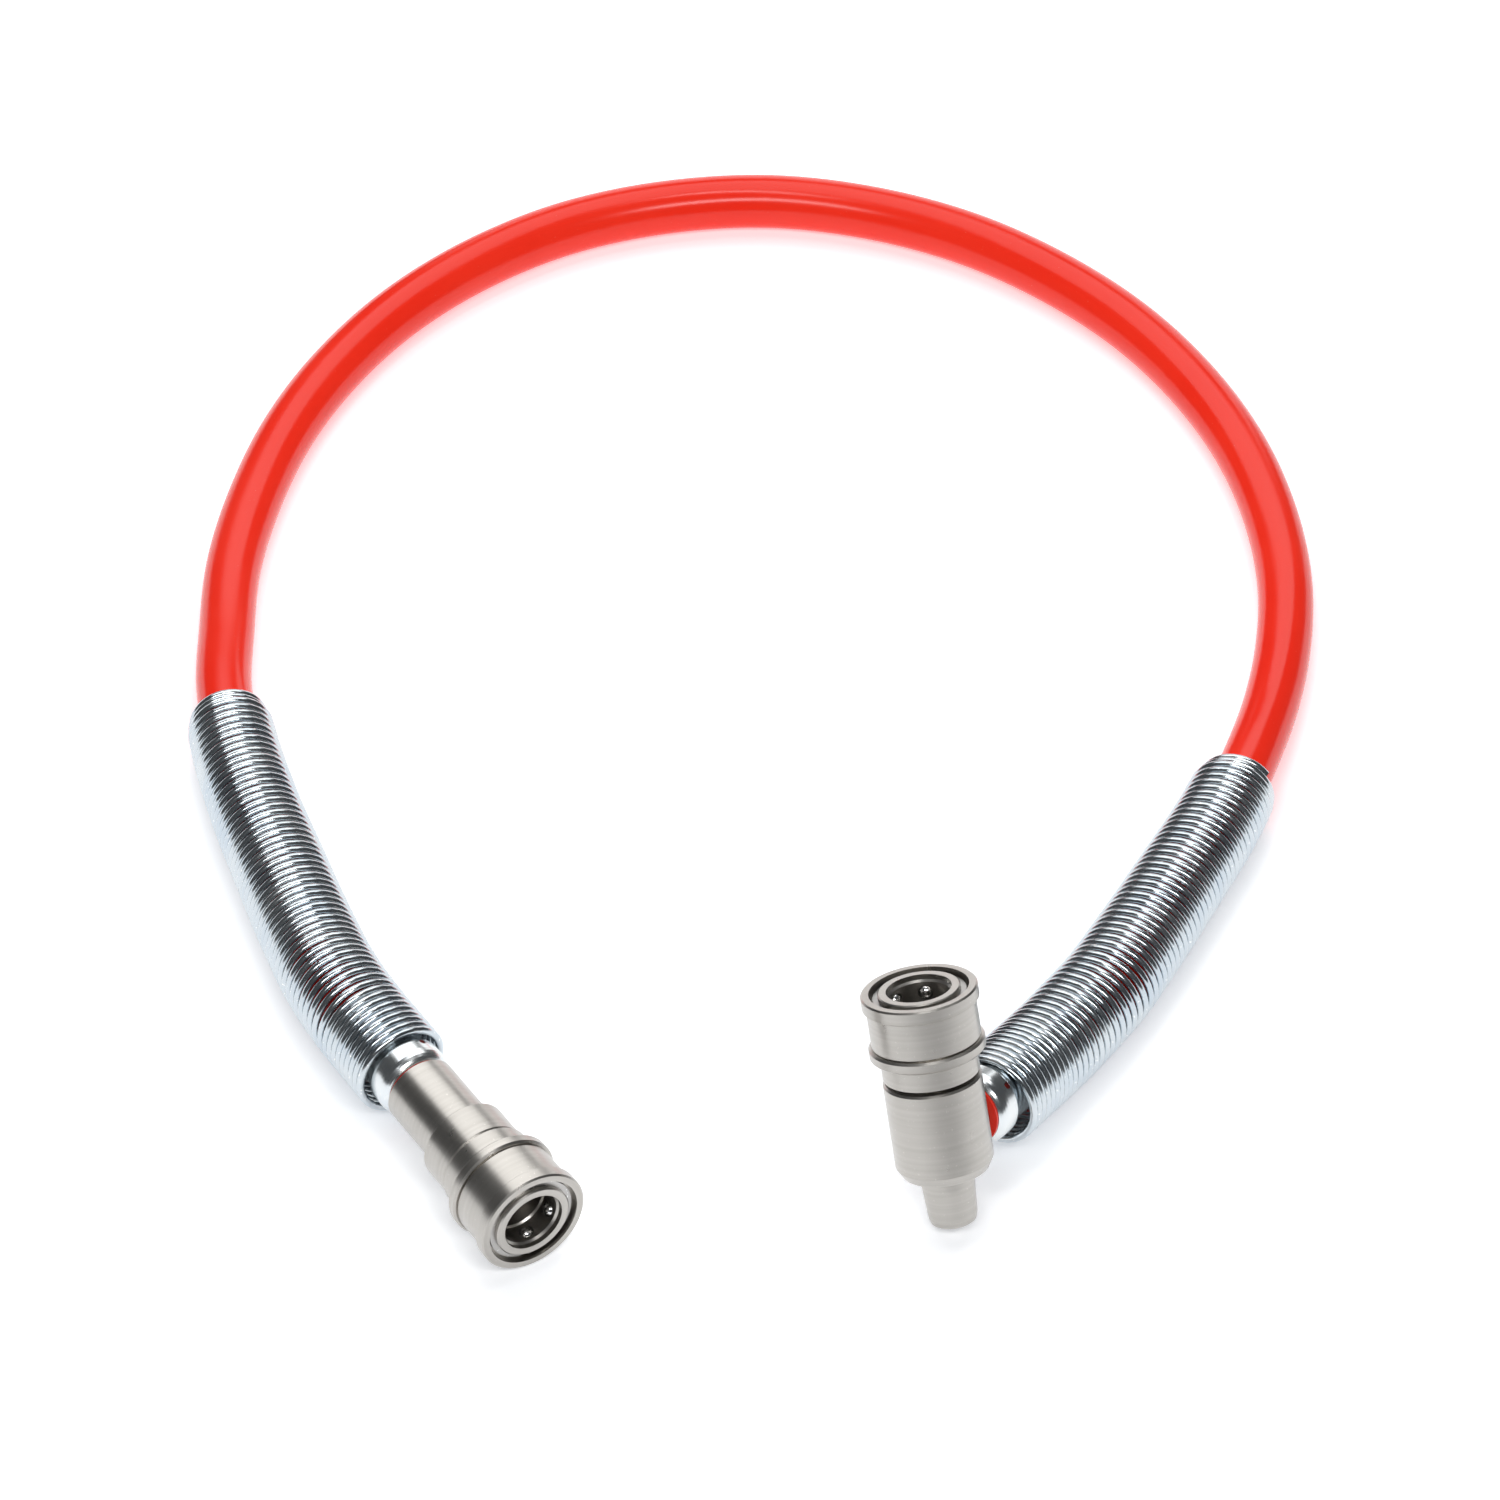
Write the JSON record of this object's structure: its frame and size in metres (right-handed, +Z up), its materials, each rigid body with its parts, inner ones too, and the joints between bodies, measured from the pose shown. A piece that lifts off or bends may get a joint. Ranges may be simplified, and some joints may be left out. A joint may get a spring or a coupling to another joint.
{
  "type": "hydraulic hose assembly",
  "caption": "Red high pressure hose laid in an open loop, with coil bend guards, a straight quick coupler on one end and an elbow quick coupler on the other.",
  "frame": {"origin": "on the floor under the middle of the box around the two couplings, leaving the free hose and its bend guards out", "axes": "+Z up from the floor the assembly lies on; the straight coupling's mouth faces -Y and the hose leaves it along +Y; +X runs across from the straight coupling to the elbow coupling"},
  "size_m": [0.3247, 0.3681, 0.0638],
  "materials": {
    "turned_stainless": "satin lathe-turned stainless steel with fine tool marks",
    "collar_stainless": "satin lathe-turned stainless steel, a little brighter on its edges",
    "spring_steel": "drawn spring wire",
    "valve_steel": "ground steel",
    "ball_steel": "polished bearing ball",
    "seal_rubber": "black nitrile",
    "mark_red": "red plastic washer",
    "ferrule_zinc": "bright bluish zinc plate",
    "guard_zinc": "bright bluish zinc plated spring wire",
    "cover_red": "smooth glossy red thermoplastic",
    "hose_wire": "brass-tinted spiral steel wire",
    "liner_plastic": "pale extruded liner"
  },
  "bodies": {
    "hose_assembly": {"cage_s": "turned_stainless", "rear_body": "turned_stainless", "stop_ring_s": "spring_steel", "return_spring_s": "spring_steel", "bore_seal_s": "seal_rubber", "valve_spring_s": "spring_steel", "cage_e": "turned_stainless", "elbow_body": "turned_stainless", "end_plug": "turned_stainless", "stop_ring_e": "spring_steel", "return_spring_e": "spring_steel", "bore_seal_e": "seal_rubber", "valve_spring_e": "spring_steel", "insert_s": "valve_steel", "mark_ring_s": "mark_red", "ferrule_s": "ferrule_zinc", "insert_e": "valve_steel", "mark_ring_e": "mark_red", "ferrule_e": "ferrule_zinc", "hose_cover": "cover_red", "wire_layer": "hose_wire", "liner": "liner_plastic", "guard_s": "guard_zinc", "guard_e": "guard_zinc"},
    "collar_straight": {"collar_s": "collar_stainless"},
    "collar_elbow": {"collar_e": "collar_stainless"},
    "poppet_straight": {"poppet_s": "valve_steel"},
    "poppet_elbow": {"poppet_e": "valve_steel"},
    "ball_straight_1": {"ball_s1": "ball_steel"},
    "ball_straight_2": {"ball_s2": "ball_steel"},
    "ball_straight_3": {"ball_s3": "ball_steel"},
    "ball_straight_4": {"ball_s4": "ball_steel"},
    "ball_straight_5": {"ball_s5": "ball_steel"},
    "ball_straight_6": {"ball_s6": "ball_steel"},
    "ball_elbow_1": {"ball_e1": "ball_steel"},
    "ball_elbow_2": {"ball_e2": "ball_steel"},
    "ball_elbow_3": {"ball_e3": "ball_steel"},
    "ball_elbow_4": {"ball_e4": "ball_steel"},
    "ball_elbow_5": {"ball_e5": "ball_steel"},
    "ball_elbow_6": {"ball_e6": "ball_steel"}
  },
  "joints": [
    {"name": "collar_slide_s", "type": "slide", "parent": "hose_assembly", "child": "collar_straight", "axis": [0, 1, 0], "range_m": [0, 0.0045], "stiffness_N_per_m": 2000, "springref_m": -0.005, "deforming": ["return_spring_s"]},
    {"name": "collar_slide_e", "type": "slide", "parent": "hose_assembly", "child": "collar_elbow", "axis": [-0.0592, -0.3666, -0.9285], "range_m": [0, 0.0045], "stiffness_N_per_m": 2000, "springref_m": -0.005, "deforming": ["return_spring_e"]},
    {"name": "poppet_slide_s", "type": "slide", "parent": "hose_assembly", "child": "poppet_straight", "axis": [0, 1, 0], "range_m": [0, 0.003], "stiffness_N_per_m": 1500, "springref_m": -0.004, "deforming": ["valve_spring_s"]},
    {"name": "poppet_slide_e", "type": "slide", "parent": "hose_assembly", "child": "poppet_elbow", "axis": [-0.0592, -0.3666, -0.9285], "range_m": [0, 0.003], "stiffness_N_per_m": 1500, "springref_m": -0.004, "deforming": ["valve_spring_e"]},
    {"name": "ball_slide_s1", "type": "slide", "parent": "hose_assembly", "child": "ball_straight_1", "axis": [0.8988, 0, -0.4384], "range_m": [0, 0.00091]},
    {"name": "ball_slide_s2", "type": "slide", "parent": "hose_assembly", "child": "ball_straight_2", "axis": [0.0698, 0, -0.9976], "range_m": [0, 0.00091]},
    {"name": "ball_slide_s3", "type": "slide", "parent": "hose_assembly", "child": "ball_straight_3", "axis": [-0.829, 0, -0.5592], "range_m": [0, 0.00091]},
    {"name": "ball_slide_s4", "type": "slide", "parent": "hose_assembly", "child": "ball_straight_4", "axis": [-0.8988, 0, 0.4384], "range_m": [0, 0.00091]},
    {"name": "ball_slide_s5", "type": "slide", "parent": "hose_assembly", "child": "ball_straight_5", "axis": [-0.0698, 0, 0.9976], "range_m": [0, 0.00091]},
    {"name": "ball_slide_s6", "type": "slide", "parent": "hose_assembly", "child": "ball_straight_6", "axis": [0.829, 0, 0.5592], "range_m": [0, 0.00091]},
    {"name": "ball_slide_e1", "type": "slide", "parent": "hose_assembly", "child": "ball_elbow_1", "axis": [0.9863, -0.1648, 0.0022], "range_m": [0, 0.00091]},
    {"name": "ball_slide_e2", "type": "slide", "parent": "hose_assembly", "child": "ball_elbow_2", "axis": [0.3599, -0.8754, 0.3227], "range_m": [0, 0.00091]},
    {"name": "ball_slide_e3", "type": "slide", "parent": "hose_assembly", "child": "ball_elbow_3", "axis": [-0.6264, -0.7106, 0.3204], "range_m": [0, 0.00091]},
    {"name": "ball_slide_e4", "type": "slide", "parent": "hose_assembly", "child": "ball_elbow_4", "axis": [-0.9863, 0.1648, -0.0022], "range_m": [0, 0.00091]},
    {"name": "ball_slide_e5", "type": "slide", "parent": "hose_assembly", "child": "ball_elbow_5", "axis": [-0.3599, 0.8754, -0.3227], "range_m": [0, 0.00091]},
    {"name": "ball_slide_e6", "type": "slide", "parent": "hose_assembly", "child": "ball_elbow_6", "axis": [0.6264, 0.7106, -0.3204], "range_m": [0, 0.00091]}
  ],
  "couplings": [
    {"joint": "ball_slide_s1", "follows": "collar_slide_s", "ratio": 0.2},
    {"joint": "ball_slide_s2", "follows": "collar_slide_s", "ratio": 0.2},
    {"joint": "ball_slide_s3", "follows": "collar_slide_s", "ratio": 0.2},
    {"joint": "ball_slide_s4", "follows": "collar_slide_s", "ratio": 0.2},
    {"joint": "ball_slide_s5", "follows": "collar_slide_s", "ratio": 0.2},
    {"joint": "ball_slide_s6", "follows": "collar_slide_s", "ratio": 0.2},
    {"joint": "ball_slide_e1", "follows": "collar_slide_e", "ratio": 0.2},
    {"joint": "ball_slide_e2", "follows": "collar_slide_e", "ratio": 0.2},
    {"joint": "ball_slide_e3", "follows": "collar_slide_e", "ratio": 0.2},
    {"joint": "ball_slide_e4", "follows": "collar_slide_e", "ratio": 0.2},
    {"joint": "ball_slide_e5", "follows": "collar_slide_e", "ratio": 0.2},
    {"joint": "ball_slide_e6", "follows": "collar_slide_e", "ratio": 0.2}
  ]
}
